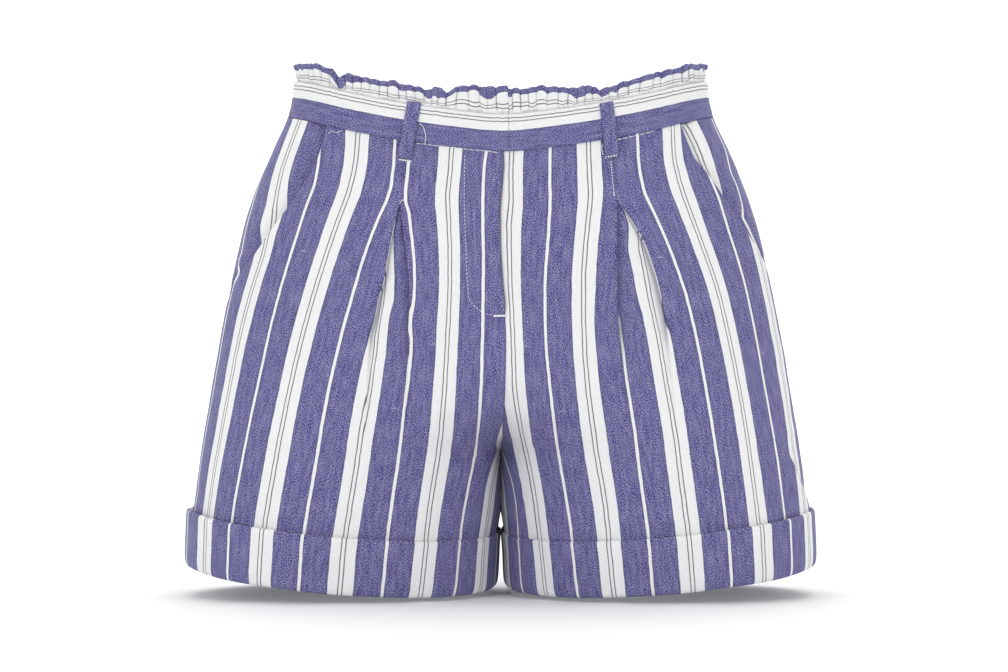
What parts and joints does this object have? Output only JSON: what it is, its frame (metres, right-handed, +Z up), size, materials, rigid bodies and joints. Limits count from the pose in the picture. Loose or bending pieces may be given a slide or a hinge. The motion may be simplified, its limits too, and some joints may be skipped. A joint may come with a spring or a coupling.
{
  "type": "shorts",
  "caption": "High-waisted blue and white striped shorts with a gathered frill waist, pleats and turned-up cuffs.",
  "frame": {"origin": "middle of the waist, level with the middle of the waistband at the side seams", "axes": "+Z up through the waist, the front faces -Y, the wearer's left leg is on +X"},
  "size_m": [0.4266, 0.2132, 0.3589],
  "materials": {
    "striped_cotton": "matt",
    "frill_cotton": "matt",
    "pocketing": "matt",
    "zip_metal": "satin"
  },
  "bodies": {
    "root": {"front_right": "striped_cotton", "front_left": "striped_cotton", "back_right": "striped_cotton", "back_left": "striped_cotton", "hip_right": "striped_cotton", "hip_left": "striped_cotton", "pocket_bag_right": "pocketing", "pocket_bag_left": "pocketing", "waistband_front_right": "striped_cotton", "waistband_front_left": "striped_cotton", "waistband_back": "striped_cotton", "frill_front_right": "frill_cotton", "frill_front_left": "frill_cotton", "frill_back": "frill_cotton", "cuff_right": "striped_cotton", "cuff_left": "striped_cotton", "belt_loop_front_right": "striped_cotton", "belt_loop_front_left": "striped_cotton", "belt_loop_back_right": "striped_cotton", "belt_loop_back_left": "striped_cotton", "zip_slider": "zip_metal", "zip_tape": "pocketing", "fly_underlap": "striped_cotton"}
  },
  "joints": []
}
